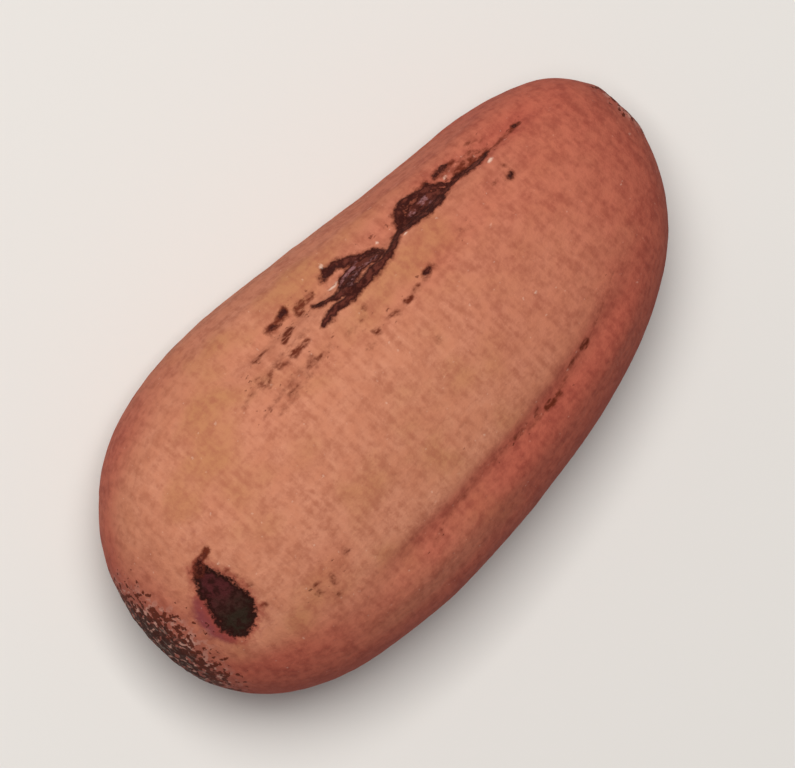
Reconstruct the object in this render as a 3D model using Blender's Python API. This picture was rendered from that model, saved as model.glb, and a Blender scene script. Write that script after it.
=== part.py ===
"""A stone pine seed: one closed woody shell, lying on its flatter face.

X runs from the broad end (-X) to the narrow end (+X), Y across and Z up from the spot it rests on.
The shell is a ring of points carried along X. A place on it is told by its station, from -1 at the
broad end to 1 at the narrow end, and by its bearing, from 0 at +Y through a quarter turn at the top.
"""

from collections import namedtuple

import bpy
import numpy as np

# Overall size, in metres
LENGTH = 0.0180
WIDTH = 0.0094
THICKNESS = 0.0078
RESTING_CUT = 0.00011  # how much the belly is flattened where it rests

# Outline seen from above and from the side
END_BLUNTNESS = 3.8  # 2 would make the ends elliptic
SIDE_BLUNTNESS = 3.6
PLAN_TAPER = 0.20  # share of the width lost towards the narrow end
SIDE_TAPER = 0.18
PLAN_TAPER_FROM, PLAN_TAPER_TO = -0.4, 0.8  # stations
SIDE_TAPER_FROM, SIDE_TAPER_TO = -0.3, 1.0
PLAN_BEND = (-0.0244, 0.0240, 0.0486)  # of the length, on station, its square and its cube
SIDE_BEND = (-0.0100, 0.0150, 0.0040)

# Cross-section
SECTION_POWER = 2.15  # 2 would make it an ellipse
BACK_SHARE = 0.54  # of the thickness, above the widest level

# Lengthwise furrows (negative height) and ribs: bearing in degrees, stations, height and half width in metres
Line = namedtuple("Line", "bearing start end height half_width")
LINES = (
    Line(37.0, -0.42, 0.88, -0.00019, 0.00034),
    Line(58.5, -0.40, 0.78, -0.00012, 0.00032),
    Line(48.0, -0.34, 0.80, 0.00005, 0.00030),
    Line(24.0, -0.50, 0.86, 0.00009, 0.00050),
    Line(128.5, -0.55, 0.70, -0.00012, 0.00040),
    Line(140.0, -0.60, 0.72, 0.00006, 0.00045),
    Line(196.0, -0.80, 0.86, 0.00008, 0.00034),
    Line(349.0, -0.84, 0.88, 0.00008, 0.00030),
    Line(238.0, -0.50, 0.74, -0.00011, 0.00038),
    Line(306.0, -0.56, 0.70, -0.00010, 0.00040),
)
LINE_FADE = 0.22  # stations over which a line dies out at each end

# Sunken eye spots near the broad end, one on each face
Spot = namedtuple("Spot", "bearing station depth half_length half_width")
EYE_SPOTS = (
    Spot(93.0, -0.80, 0.00010, 0.00066, 0.00112),
    Spot(266.0, -0.79, 0.00009, 0.00072, 0.00098),
)

# Scar at the narrow tip: a shallow cup in a low rim
CUP_RADIUS = 0.00052
CUP_DEPTH = 0.00012
RIM_RADIUS = 0.00080
RIM_HALF_WIDTH = 0.00024
RIM_HEIGHT = 0.00005
TIP_FROM = 0.5  # station past which a small radius means the tip

# Slow unevenness of the shell, with the phase in radians
Swell = namedtuple("Swell", "waves_round waves_along phase height")
SWELLS = (
    Swell(2, 1.5, 0.6, 0.00005),
    Swell(3, 2.2, 2.1, 0.00005),
    Swell(5, 3.1, 4.0, 0.00002),
)

# Mesh
STATIONS = 52
BEARINGS = 84
CROWDING = 1.6  # how much closer the bearings lie on a line than between lines
CROWD_WIDTH = 0.12  # radians
FINE_BEARINGS = 1441
HAIR = 1e-9  # keeps a section at the very end from dividing by zero

SHELL_COLOUR = (0.44, 0.19, 0.115, 1.0)
SHELL_ROUGHNESS = 0.78


def clear_scene():
    for obj in list(bpy.data.objects):
        bpy.data.objects.remove(obj, do_unlink=True)


def eased(low, high, value):
    """0 below low, 1 above high and an S-curve between."""
    share = np.clip((value - low) / (high - low), 0.0, 1.0)
    return share * share * (3.0 - 2.0 * share)


def turned(bearing, degrees):
    """Signed angle from a bearing given in degrees, in radians within half a turn."""
    return (bearing - np.radians(degrees) + np.pi) % (2.0 * np.pi) - np.pi


def bent(weights, station):
    """Sideways shift of the centre line at a station."""
    return LENGTH * sum(weight * station ** (power + 1) for power, weight in enumerate(weights))


def section_size(station):
    """Half width, half thickness above the widest level and half thickness below it."""
    across = np.sqrt(1.0 - np.abs(station) ** END_BLUNTNESS)
    across = across * (1.0 - PLAN_TAPER * eased(PLAN_TAPER_FROM, PLAN_TAPER_TO, station))
    deep = np.sqrt(1.0 - np.abs(station) ** SIDE_BLUNTNESS)
    deep = deep * (1.0 - SIDE_TAPER * eased(SIDE_TAPER_FROM, SIDE_TAPER_TO, station))
    return WIDTH / 2 * across, THICKNESS * BACK_SHARE * deep, THICKNESS * (1.0 - BACK_SHARE) * deep


def relief(station, bearing, radius):
    """Height of ribs, furrows, eye spots and swells above the smooth section."""
    height = np.zeros(np.broadcast(station, bearing).shape)
    for line in LINES:
        off = turned(bearing, line.bearing) * radius
        along = eased(line.start, line.start + LINE_FADE, station)
        along = along * eased(-line.end, -line.end + LINE_FADE, -station)
        height += line.height * along * np.exp(-((off / line.half_width) ** 2))
    for spot in EYE_SPOTS:
        off = turned(bearing, spot.bearing) * radius
        ahead = (station - spot.station) * LENGTH / 2
        away = (off / spot.half_width) ** 2 + (ahead / spot.half_length) ** 2
        height -= spot.depth * np.exp(-(away**2))
    calm = 1.0 - np.abs(station) ** 4
    for swell in SWELLS:
        wave = np.sin(swell.waves_round * bearing + swell.phase)
        height += swell.height * calm * wave * np.cos(swell.waves_along * station + swell.phase)
    return height


def shell_points(station, bearing):
    """Points of the shell before it is set down.

    A superellipse of polar radius 1 / (|cos/a|^p + |sin/b|^p)^(1/p) stands across the bent centre line,
    with a and b as section_size gives them. The relief is added along the section's outward normal, and
    the scar at the tip is added along X.
    """
    half_width, above, below = section_size(station)
    upward = np.sin(bearing) >= 0.0
    half_depth = np.where(upward, above, below)
    across, up = np.cos(bearing), np.sin(bearing)
    reach = np.abs(across / (half_width + HAIR)) ** SECTION_POWER
    reach = reach + np.abs(up / (half_depth + HAIR)) ** SECTION_POWER
    radius = reach ** (-1.0 / SECTION_POWER)
    normal = np.stack([across / (half_width + HAIR) ** 2, up / (half_depth + HAIR) ** 2])
    normal = normal / np.linalg.norm(normal, axis=0)
    height = relief(station, bearing, radius)
    cup = np.exp(-((radius / CUP_RADIUS) ** 4))
    rim = np.exp(-(((radius - RIM_RADIUS) / RIM_HALF_WIDTH) ** 2))
    x = LENGTH / 2 * station + (station > TIP_FROM) * (RIM_HEIGHT * rim - CUP_DEPTH * cup)
    y = radius * across + height * normal[0] + bent(PLAN_BEND, station)
    z = radius * up + height * normal[1] + bent(SIDE_BEND, station)
    return np.stack([np.broadcast_to(x, y.shape), y, z], axis=-1)


def bearings():
    """Bearings round the section, crowded where a rib or furrow runs."""
    fine = np.linspace(0.0, 2.0 * np.pi, FINE_BEARINGS)
    crowd = np.ones_like(fine)
    for line in LINES:
        crowd += CROWDING * np.exp(-((turned(fine, line.bearing) / CROWD_WIDTH) ** 2))
    shares = np.cumsum(crowd) - crowd[0]
    return np.interp(np.arange(BEARINGS) / BEARINGS * shares[-1], shares, fine)


def set_down(points):
    """Flattens the lowest spot, and puts the origin under the middle of the box."""
    level = points[:, 2].min() + RESTING_CUT
    points[:, 2] = np.maximum(points[:, 2], level) - level
    points[:, :2] -= (points[:, :2].min(axis=0) + points[:, :2].max(axis=0)) / 2
    return points


def shell_mesh():
    """Rings from end to end, joined by quads and closed by a fan at each end."""
    stations = -np.cos(np.pi * np.arange(1, STATIONS) / STATIONS)[:, None]
    around = bearings()[None, :]
    rings = shell_points(stations, around).reshape(-1, 3)
    ends = shell_points(np.array([[-1.0], [1.0]]), np.zeros((1, 1))).reshape(-1, 3)
    points = set_down(np.concatenate([rings, ends]))
    ring_count = STATIONS - 1
    broad_end = ring_count * BEARINGS
    narrow_end = broad_end + 1
    last_ring = (ring_count - 1) * BEARINGS
    faces = []
    for step in range(BEARINGS):
        after = (step + 1) % BEARINGS
        faces.append((broad_end, after, step))
        faces.append((narrow_end, last_ring + step, last_ring + after))
        for ring in range(ring_count - 1):
            here, beyond = ring * BEARINGS, (ring + 1) * BEARINGS
            faces.append((here + step, here + after, beyond + after, beyond + step))
    mesh = bpy.data.meshes.new("seed")
    mesh.from_pydata(points.tolist(), [], faces)
    mesh.update()
    mesh.shade_smooth()
    return mesh


def shell_material():
    material = bpy.data.materials.new("shell")
    material.use_nodes = True
    shader = material.node_tree.nodes["Principled BSDF"]
    shader.inputs["Base Color"].default_value = SHELL_COLOUR
    shader.inputs["Roughness"].default_value = SHELL_ROUGHNESS
    return material


def main():
    clear_scene()
    seed = bpy.data.objects.new("seed", shell_mesh())
    seed.data.materials.append(shell_material())
    bpy.context.scene.collection.objects.link(seed)


main()
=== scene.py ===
import math
from collections import namedtuple
from itertools import product

import bpy
import numpy as np
from mathutils import Matrix, Vector


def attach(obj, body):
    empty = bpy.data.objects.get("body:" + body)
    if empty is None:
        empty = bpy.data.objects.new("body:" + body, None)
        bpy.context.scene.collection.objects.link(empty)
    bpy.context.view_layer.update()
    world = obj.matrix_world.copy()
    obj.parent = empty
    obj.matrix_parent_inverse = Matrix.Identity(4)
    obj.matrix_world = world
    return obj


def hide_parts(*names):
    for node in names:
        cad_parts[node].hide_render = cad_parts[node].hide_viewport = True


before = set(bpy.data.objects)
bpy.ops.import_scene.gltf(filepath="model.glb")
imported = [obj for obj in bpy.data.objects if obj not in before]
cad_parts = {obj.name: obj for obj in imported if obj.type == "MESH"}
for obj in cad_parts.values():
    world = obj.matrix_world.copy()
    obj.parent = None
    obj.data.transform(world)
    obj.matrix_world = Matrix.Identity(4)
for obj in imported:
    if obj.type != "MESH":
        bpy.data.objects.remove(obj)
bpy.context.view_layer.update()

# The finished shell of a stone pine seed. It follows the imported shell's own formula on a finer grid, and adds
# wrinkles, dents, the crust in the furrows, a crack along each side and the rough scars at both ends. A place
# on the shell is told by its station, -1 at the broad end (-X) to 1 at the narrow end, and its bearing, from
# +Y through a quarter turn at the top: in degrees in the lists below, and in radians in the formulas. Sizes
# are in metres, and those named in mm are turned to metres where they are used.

MM = 0.001

# The shell's driving dimensions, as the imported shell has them
LENGTH = 0.0180
WIDTH = 0.0094
THICKNESS = 0.0078
RESTING_CUT = 0.00011
END_BLUNTNESS = 3.8
SIDE_BLUNTNESS = 3.6
PLAN_TAPER = 0.20
SIDE_TAPER = 0.18
PLAN_TAPER_FROM, PLAN_TAPER_TO = -0.4, 0.8
SIDE_TAPER_FROM, SIDE_TAPER_TO = -0.3, 1.0
PLAN_BEND = (-0.0244, 0.0240, 0.0486)
SIDE_BEND = (-0.0100, 0.0150, 0.0040)
SECTION_POWER = 2.15
BACK_SHARE = 0.54

# Lengthwise furrows (negative height) and ribs
Line = namedtuple("Line", "bearing start end height half_width")
LINES = (
    Line(37.0, -0.42, 0.88, -0.00019, 0.00034),
    Line(58.5, -0.40, 0.78, -0.00012, 0.00032),
    Line(48.0, -0.34, 0.80, 0.00005, 0.00030),
    Line(24.0, -0.50, 0.86, 0.00009, 0.00050),
    Line(128.5, -0.55, 0.70, -0.00012, 0.00040),
    Line(140.0, -0.60, 0.72, 0.00006, 0.00045),
    Line(196.0, -0.80, 0.86, 0.00008, 0.00034),
    Line(349.0, -0.84, 0.88, 0.00008, 0.00030),
    Line(238.0, -0.50, 0.74, -0.00011, 0.00038),
    Line(306.0, -0.56, 0.70, -0.00010, 0.00040),
)
LINE_FADE = 0.22

# Sunken eye spots, and the cup and rim at the narrow tip
Spot = namedtuple("Spot", "bearing station depth half_length half_width")
EYE_SPOTS = (
    Spot(93.0, -0.80, 0.00010, 0.00066, 0.00112),
    Spot(266.0, -0.79, 0.00009, 0.00072, 0.00098),
)
CUP_RADIUS = 0.00052
CUP_DEPTH = 0.00012
RIM_RADIUS = 0.00080
RIM_HALF_WIDTH = 0.00024
RIM_HEIGHT = 0.00005
TIP_FROM = 0.5

# Slow unevenness, with the phase in radians
Swell = namedtuple("Swell", "waves_round waves_along phase height")
SWELLS = (
    Swell(2, 1.5, 0.6, 0.00005),
    Swell(3, 2.2, 2.1, 0.00005),
    Swell(5, 3.1, 4.0, 0.00002),
)

# The grid, under 200,000 triangles
RINGS = 312
BEARINGS = 316
CROWDING = 0.9  # how much closer the bearings lie on a furrow or rib than between them
CROWD_WIDTH = 0.16  # radians
FINE = 2881  # steps that the even spacing is worked out on
HAIR = 1e-9  # keeps a section at the very end from dividing by zero

# Fine relief, heights in metres. A cell is the step of the noise's lattice, on every axis or on X, Y and Z
LATTICE = 48
FLOOR_FADE = 0.00025  # fine relief dies out below this height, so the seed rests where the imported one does
DENTS = ((0.00150, 0.000020), (0.00070, 0.000009))  # cell and height
DENT_SEED = 11
WRINKLE_CELL = (0.00024, 0.00100, 0.00100)  # short along X and long across it
WRINKLE_HEIGHT = 0.0000065
WRINKLE_SEED = 21
STREAK_CELL = (0.00170, 0.00026, 0.00026)  # long along X
STREAK_HEIGHT = 0.0000035
STREAK_SEED = 22
COARSE_CELL = 0.00022
COARSE_SEED = 31
FINE_CELL = 0.00010
FINE_SEED = 32
CRUST_HEIGHT = 0.000022
CRUST_EDGE = 0.00007
CRUST_WANDER = 0.00003  # how far the coarse grain moves the crust's edge
CRUST_COARSE, CRUST_FINE = 0.6, 0.35  # shares of its height that the two grains take or add
EYE_SINK = 0.000035
EYE_EDGE = 0.00010
EYE_COARSE, EYE_FINE = 0.5, 0.3
SCALE_HEIGHT = 0.00002
SCALE_EDGE = 0.00006
SCAR_ROUGHNESS = 0.000030
SCAR_COARSE, SCAR_FINE = 0.6, 0.5
BROAD_SCAR = (0.0011, 0.0021)  # distances from the end between which the roughness dies out
TIP_SCAR = (0.0005, 0.0010)
WANDER = ((0.00034, 0.000060), (0.00014, 0.000034))  # cell and reach of the sideways wander of every mark
WANDER_SEED = 41

# Marks are chains of points: station, bearing in degrees and half width in mm. First the dark film
FILM = (
    # In the two furrows of the near flank
    ((0.612, 38.6, 0.07), (0.596, 40, 0.11), (0.566, 40.6, 0.12), (0.513, 38.6, 0.13), (0.482, 38.8, 0.13)),
    (
        (0.482, 38.8, 0.12), (0.44, 40.8, 0.11), (0.383, 43, 0.12), (0.332, 42.4, 0.12), (0.282, 40.8, 0.10),
        (0.266, 40, 0.07),
    ),
    (
        (0.475, 36.5, 0.05), (0.451, 34.4, 0.10), (0.40, 31.6, 0.09), (0.345, 31.4, 0.10), (0.297, 36, 0.10),
        (0.282, 40.8, 0.09),
    ),
    ((0.445, 37.5, 0.13), (0.41, 37.2, 0.24), (0.36, 37.2, 0.27), (0.315, 38.5, 0.16)),
    (
        (0.295, 38.8, 0.09), (0.272, 40.4, 0.09), (0.24, 43.6, 0.10), (0.203, 45.6, 0.12),
        (0.162, 46.2, 0.14), (0.098, 46.8, 0.15), (0.033, 47.6, 0.13),
    ),
    ((0.033, 47.6, 0.13), (-0.007, 47.6, 0.11), (-0.061, 48.4, 0.08)),
    (
        (0.205, 42, 0.09), (0.196, 38.6, 0.09), (0.126, 33.6, 0.11), (0.09, 32.2, 0.09), (0.062, 31.9, 0.11),
        (0.038, 33.4, 0.07),
    ),
    ((0.178, 41.5, 0.18), (0.13, 39.2, 0.28), (0.085, 40.2, 0.26), (0.05, 43.5, 0.18)),
    ((0.085, 46.6, 0.12), (0.051, 43.4, 0.12), (0.012, 43.2, 0.11), (-0.025, 40.8, 0.09), (-0.038, 39, 0.06)),
    # Loose dots, and the tail of the eye spot
    ((0.508, 31.4, 0.08), (0.501, 31.2, 0.07)),
    ((0.475, 31.3, 0.06), (0.47, 31.3, 0.06)),
    ((0.437, 30.6, 0.04), (0.433, 30.6, 0.04)),
    ((-0.103, 33.4, 0.06), (-0.118, 34, 0.08)),
    ((-0.155, 35.2, 0.08), (-0.168, 35, 0.06)),
    ((0.265, 59.6, 0.06), (0.228, 59.6, 0.07)),
    ((0.612, 55, 0.05), (0.60, 55.8, 0.06)),
    ((0.729, 37.8, 0.05), (0.725, 37.9, 0.05)),
    ((-0.745, 71.3, 0.03), (-0.768, 71.6, 0.05), (-0.80, 74, 0.07)),
    # In the furrows of the belly
    ((0.50, 237, 0.05), (0.30, 239, 0.14), (0.12, 237.5, 0.19), (-0.05, 239, 0.07)),
    ((0.02, 235, 0.05), (-0.16, 236, 0.08)),
    ((-0.30, 306.5, 0.05), (-0.12, 305, 0.13), (0.05, 306, 0.09), (0.22, 305, 0.05)),
    ((0.34, 306, 0.06), (0.40, 305, 0.07)),
)

# Brown strokes and dots
Stain = namedtuple("Stain", "strength points")
STAINS = (
    # Beside the film
    Stain(0.80, ((0.731, 37.8, 0.03), (0.722, 38.0, 0.03))),
    Stain(0.66, ((0.708, 38.8, 0.02), (0.688, 38.8, 0.04), (0.664, 39.6, 0.03))),
    Stain(0.60, ((0.655, 39.2, 0.02), (0.62, 38.8, 0.03))),
    Stain(0.80, ((0.62, 37.5, 0.08), (0.596, 39, 0.12))),
    Stain(0.50, ((0.633, 31.8, 0.02), (0.614, 30.4, 0.04), (0.594, 30, 0.02))),
    Stain(0.50, ((0.591, 32.6, 0.02), (0.574, 34, 0.03))),
    Stain(0.85, ((0.57, 37.6, 0.13), (0.529, 36.2, 0.13))),
    Stain(0.50, ((0.509, 33, 0.05), (0.47, 32.6, 0.05))),
    Stain(0.55, ((0.60, 34.5, 0.04), (0.575, 33.8, 0.05), (0.545, 33.5, 0.04))),
    Stain(0.80, ((0.437, 30.6, 0.04), (0.43, 30.6, 0.03))),
    Stain(0.75, ((0.53, 31.8, 0.03), (0.525, 31.8, 0.03))),
    Stain(0.60, ((0.618, 51.8, 0.02), (0.612, 51, 0.02))),
    Stain(0.50, ((0.564, 54.2, 0.02), (0.557, 54.2, 0.02))),
    Stain(0.88, ((-0.014, 34.8, 0.03), (-0.043, 34.4, 0.05), (-0.069, 35, 0.05), (-0.08, 37, 0.03))),
    Stain(0.90, ((-0.10, 33.4, 0.06), (-0.13, 34.4, 0.05), (-0.165, 35, 0.06))),
    Stain(1.10, ((-0.124, 40.4, 0.03), (-0.144, 41, 0.06), (-0.165, 42.6, 0.05))),
    Stain(0.88, ((-0.124, 48.6, 0.03), (-0.147, 48.6, 0.04), (-0.18, 49.2, 0.04))),
    Stain(0.70, ((-0.221, 39.8, 0.02), (-0.259, 40, 0.04))),
    Stain(0.66, ((-0.134, 55.8, 0.02), (-0.155, 55.2, 0.04), (-0.183, 55.4, 0.02))),
    Stain(0.62, ((-0.205, 50, 0.02), (-0.231, 49.2, 0.04))),
    Stain(0.62, ((-0.26, 48.5, 0.02), (-0.289, 50.8, 0.04))),
    Stain(0.66, ((-0.299, 46.8, 0.03), (-0.307, 49.8, 0.03))),
    Stain(0.60, ((-0.24, 57.6, 0.03), (-0.262, 57.4, 0.03))),
    Stain(0.80, ((0.20, 61, 0.02), (0.178, 61.6, 0.03))),
    Stain(0.90, ((0.155, 61.8, 0.03), (0.143, 62, 0.03))),
    Stain(0.80, ((0.10, 62.4, 0.02), (0.077, 61.6, 0.03))),
    Stain(0.90, ((0.027, 62.4, 0.03), (0.018, 62.2, 0.03))),
    Stain(0.60, ((0.053, 53.4, 0.03), (0.048, 53.4, 0.03))),
    Stain(0.45, ((0.03, 55.6, 0.03), (0.017, 55.4, 0.03))),
    Stain(0.40, ((-0.012, 56.4, 0.03), (-0.033, 56.2, 0.03))),
    Stain(0.35, ((-0.012, 64.6, 0.03), (-0.03, 65.4, 0.03))),
    Stain(0.40, ((0.125, 79, 0.04), (0.115, 79.5, 0.04))),
    Stain(0.38, ((0.416, 58.2, 0.06), (0.397, 57.8, 0.05))),
    Stain(0.40, ((-0.15, 54, 0.03), (-0.25, 55.5, 0.05), (-0.36, 57.5, 0.03))),
    Stain(0.42, ((-0.11, 45.5, 0.03), (-0.27, 48, 0.05), (-0.38, 50, 0.03))),
    Stain(0.36, ((-0.09, 55, 0.02), (-0.22, 58.5, 0.04), (-0.33, 61, 0.03))),
    # Along the crease
    Stain(0.40, (
        (0.61, 119, 0.01), (0.42, 125.5, 0.02), (0.32, 127, 0.03), (0.24, 130.5, 0.04), (0.16, 130, 0.03),
    )),
    Stain(0.40, (
        (0.16, 130, 0.03), (0.06, 126.5, 0.02), (-0.05, 126.5, 0.03), (-0.17, 127.5, 0.03),
        (-0.29, 132, 0.01),
    )),
    Stain(1.10, ((0.228, 129.4, 0.06), (0.21, 130, 0.05))),
    Stain(0.80, ((0.26, 130.5, 0.04), (0.25, 130, 0.04))),
    Stain(1.05, ((0.415, 125.4, 0.05), (0.395, 126, 0.05))),
    Stain(0.75, ((0.352, 126.5, 0.03), (0.338, 127, 0.03))),
    Stain(0.55, ((0.18, 127, 0.03), (0.17, 127.5, 0.03))),
    Stain(0.60, ((0.10, 127.5, 0.03), (0.085, 127.5, 0.03))),
    Stain(0.45, ((-0.22, 128.5, 0.04), (-0.235, 129, 0.03))),
    # Round the eye spot, and on the crease's side of it
    Stain(1.20, ((-0.735, 71.2, 0.02), (-0.768, 71.6, 0.05), (-0.80, 73.5, 0.08))),
    Stain(0.85, ((-0.747, 83.2, 0.02), (-0.743, 83.8, 0.02))),
    Stain(0.80, ((-0.73, 94.2, 0.03), (-0.727, 94.8, 0.02))),
    Stain(0.80, ((-0.739, 104.8, 0.03), (-0.736, 105, 0.03))),
    Stain(0.65, ((-0.733, 88, 0.02), (-0.731, 88.5, 0.02))),
    Stain(0.75, ((-0.598, 112.4, 0.03), (-0.602, 112.6, 0.03))),
    Stain(0.75, ((-0.608, 115.6, 0.03), (-0.612, 115.6, 0.03))),
    Stain(0.70, ((-0.555, 112.8, 0.03), (-0.558, 112.8, 0.03))),
    Stain(0.70, ((-0.559, 115.8, 0.03), (-0.565, 116, 0.02))),
    Stain(0.80, ((-0.479, 109.8, 0.03), (-0.485, 110, 0.02))),
    Stain(0.60, ((-0.574, 120, 0.03), (-0.58, 120, 0.03))),
    # By the tip, on the belly and on both flanks
    Stain(1.00, ((0.988, 107, 0.08), (0.99, 120, 0.06))),
    Stain(0.30, ((0.66, 239, 0.05), (0.30, 241, 0.07), (-0.10, 240, 0.06), (-0.40, 243, 0.04))),
    Stain(0.28, ((0.55, 308, 0.05), (0.10, 309, 0.07), (-0.40, 305, 0.05))),
    Stain(0.70, ((0.46, 171, 0.03), (0.44, 171.5, 0.04))),
    Stain(0.60, ((0.02, 164, 0.04), (0.00, 164.5, 0.03))),
    Stain(0.65, ((-0.47, 182, 0.04), (-0.49, 182, 0.03))),
    Stain(0.55, ((-0.35, 352, 0.03), (-0.37, 352.5, 0.03))),
)

# Violet glints on the film
GLINTS = (
    Stain(0.95, ((0.405, 35.2, 0.02), (0.388, 35.4, 0.04))),
    Stain(0.80, ((0.350, 36.4, 0.02), (0.342, 36.0, 0.02))),
    Stain(0.60, ((0.410, 38.6, 0.02), (0.395, 39.6, 0.02))),
    Stain(1.00, ((0.122, 37.8, 0.04), (0.104, 37.8, 0.07), (0.085, 38.4, 0.05))),
    Stain(0.90, ((0.060, 38.6, 0.05), (0.048, 39.6, 0.04))),
    Stain(0.60, ((0.155, 35.8, 0.03), (0.138, 35.2, 0.04))),
    Stain(0.65, ((0.170, 41.6, 0.04), (0.120, 42.0, 0.07), (0.075, 43.4, 0.05))),
    Stain(0.60, ((0.20, 238.5, 0.08), (0.10, 238, 0.08))),
    Stain(0.60, ((-0.14, 305.5, 0.06), (-0.08, 305, 0.05))),
)

# Bands where fine brown specks lie close together
PEPPER = (
    Stain(1.00, ((0.75, 38, 0.08), (0.45, 35, 0.16), (0.10, 37, 0.22), (-0.15, 38, 0.24), (-0.30, 42, 0.16))),
    Stain(0.80, ((0.30, 60, 0.05), (0.02, 61, 0.10), (-0.15, 54, 0.20), (-0.36, 57, 0.12))),
    Stain(0.55, ((0.52, 55, 0.10), (0.35, 58, 0.10))),
    Stain(0.65, ((0.60, 119, 0.05), (0.24, 130, 0.12), (-0.05, 127, 0.10), (-0.29, 132, 0.08))),
    Stain(0.80, ((-0.62, 116, 0.18), (-0.52, 110, 0.16))),
    Stain(0.70, ((0.60, 238, 0.10), (0.10, 238, 0.20), (-0.35, 240, 0.10))),
    Stain(0.60, ((0.45, 306, 0.10), (-0.10, 306, 0.20), (-0.45, 304, 0.10))),
    Stain(0.55, ((0.55, 170, 0.10), (0.20, 174, 0.30), (-0.20, 168, 0.10))),
    Stain(0.50, ((-0.35, 184, 0.30), (-0.60, 178, 0.20))),
)

# Yellower skin beside the film, and towards the broad end
OCHRE_PATCHES = (
    Stain(0.90, ((0.36, 50, 0.05), (0.15, 53, 0.15), (-0.08, 55, 0.15))),
    Stain(0.80, ((0.34, 26, 0.05), (0.10, 25, 0.20), (-0.25, 29, 0.20))),
    Stain(0.85, ((-0.35, 40, 0.30), (-0.55, 46, 0.60), (-0.68, 52, 0.30))),
    Stain(0.50, ((0.05, 92, 0.40), (-0.35, 98, 0.50))),
    Stain(0.60, ((0.40, 250, 0.30), (-0.40, 290, 0.60))),
)

# Plum coloured skin beside the eye spots
BLUSH = (
    Stain(1.00, ((-0.85, 83, 0.02), (-0.866, 90, 0.07), (-0.872, 99, 0.10), (-0.864, 107, 0.04))),
    Stain(0.16, ((-0.742, 64, 0.16), (-0.703, 61.6, 0.18))),
    Stain(0.22, ((-0.80, 112, 0.10), (-0.74, 108, 0.10))),
    Stain(0.70, ((-0.86, 258, 0.10), (-0.87, 275, 0.12))),
)

# Scales of skin left beside the film: thin raised plates whose pale colour is a painted highlight
SCALES_AND_GLINTS = (
    ((0.602, 45.6, 0.07), (0.598, 45.7, 0.07)),
    ((0.488, 34.2, 0.04), (0.484, 34.2, 0.03)),
    ((0.568, 32.4, 0.03), (0.563, 32.6, 0.02)),
    ((0.289, 43.8, 0.04), (0.284, 43.8, 0.04)),
    ((0.222, 36.2, 0.04), (0.219, 36.4, 0.03)),
    ((0.068, 29.4, 0.05), (0.064, 29.6, 0.04)),
    ((0.053, 37.2, 0.05), (0.03, 37.8, 0.04)),
    ((0.41, 95, 0.03), (0.405, 95, 0.02)),
    ((-0.744, 78, 0.02), (-0.742, 79, 0.02)),
    ((0.982, 98, 0.06), (0.978, 106, 0.05)),
)

# A fine crack along each side, just under the widest level
SEAMS = (
    ((0.80, 197, 0.03), (0.50, 194, 0.05), (0.10, 196.5, 0.05), (-0.35, 195, 0.04), (-0.62, 198, 0.02)),
    ((0.84, 347, 0.02), (0.45, 350, 0.05), (0.05, 348.5, 0.05), (-0.40, 350.5, 0.05), (-0.78, 347.5, 0.03)),
)
SEAM_WANDER = 0.5  # share of the wander that the cracks follow
SEAM_DEPTH = 0.000028
SEAM_LIP = 0.000012
SEAM_HALF_WIDTH = 0.00006
SEAM_WALL = (-1.0, 0.6)  # where the wall starts and ends, in those half widths into the crack
LIP_PLACE = -2.2  # in the same half widths, outside the crack

# Outlines of the eye spots in mm from their middles: towards the narrow end, then round the shell
EYE_MIDDLES = ((-0.793, 91.0), (-0.79, 266.0))
EYE_OUTLINES = (
    (
        (0.16, -1.08), (-0.06, -1.12), (-0.24, -0.86), (-0.40, -0.50), (-0.52, 0.02), (-0.62, 0.46),
        (-0.58, 0.80), (-0.36, 1.12), (-0.04, 1.04), (0.26, 0.82), (0.42, 0.48), (0.40, 0.06), (0.36, -0.36),
        (0.24, -0.74),
    ),
    (
        (0.62, -0.72), (0.10, -0.94), (-0.52, -0.70), (-0.76, -0.12), (-0.62, 0.50), (-0.20, 0.92),
        (0.34, 0.78), (0.60, 0.30), (0.44, -0.16),
    ),
)

# Softness of the marks that fade out round their chains
STAIN_SOFTNESS = 0.00008
GLINT_SOFTNESS = 0.00009
PEPPER_SOFTNESS = 0.00040
BLUSH_SOFTNESS = 0.00020
OCHRE_SOFTNESS = 0.00050

# These marks are shares, and the other ones are distances, which the mesh carries in mm
SHARES = ("stain", "pepper", "blush", "glint", "ochre", "ruddy_and_shade", "scar")

# Zones of redder, darker skin: partly the shell's own colour and partly painted shade on the flanks and the
# low side, which turn away from the light. Strength, and where it starts and is full. A value is the station,
# or the angle in radians from the middle of a flank. The station is turned round for the zones named BACK,
# which grow towards the broad end
Zone = namedtuple("Zone", "strength start full")
FAR_FLANK_ANGLE = 1.12
FAR_FLANK_SOFTNESS = 0.40
FAR_FLANK_WIDER_BACK = Zone(0.06, 0.35, 0.75)
SHOULDER_UP = Zone(0.44, 0.28, 0.60)  # the shoulder is the less red upper part of the far flank
SHOULDER_BACK = Zone(1.0, -0.20, 0.25)
SHOULDER_END = Zone(1.0, -0.85, -0.50)
CREASE_BEARING = 126.0
CREASE_HALF_WIDTH = 0.07  # radians
CREASE_START = Zone(0.42, -0.62, -0.30)
CREASE_BACK = Zone(1.0, -0.66, -0.40)
NEAR_FLANK = 0.25
NEAR_FLANK_NARROW = Zone(0.20, 0.4, 0.8)
NEAR_FLANK_BACK = Zone(0.50, 0.2, 0.7)
NEAR_FLANK_UP = Zone(1.0, 0.22, 0.62)
NARROW_FACE = Zone(0.42, -0.1, 0.5)
NARROW_END = Zone(0.80, 0.45, 0.92)
BROAD_END_BACK = Zone(0.66, 0.78, 0.96)
# The low part of the far flank goes to the deepest red-brown, which is painted shade
LOW_FLANK = Zone(0.40, 0.25, 0.62)

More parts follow.
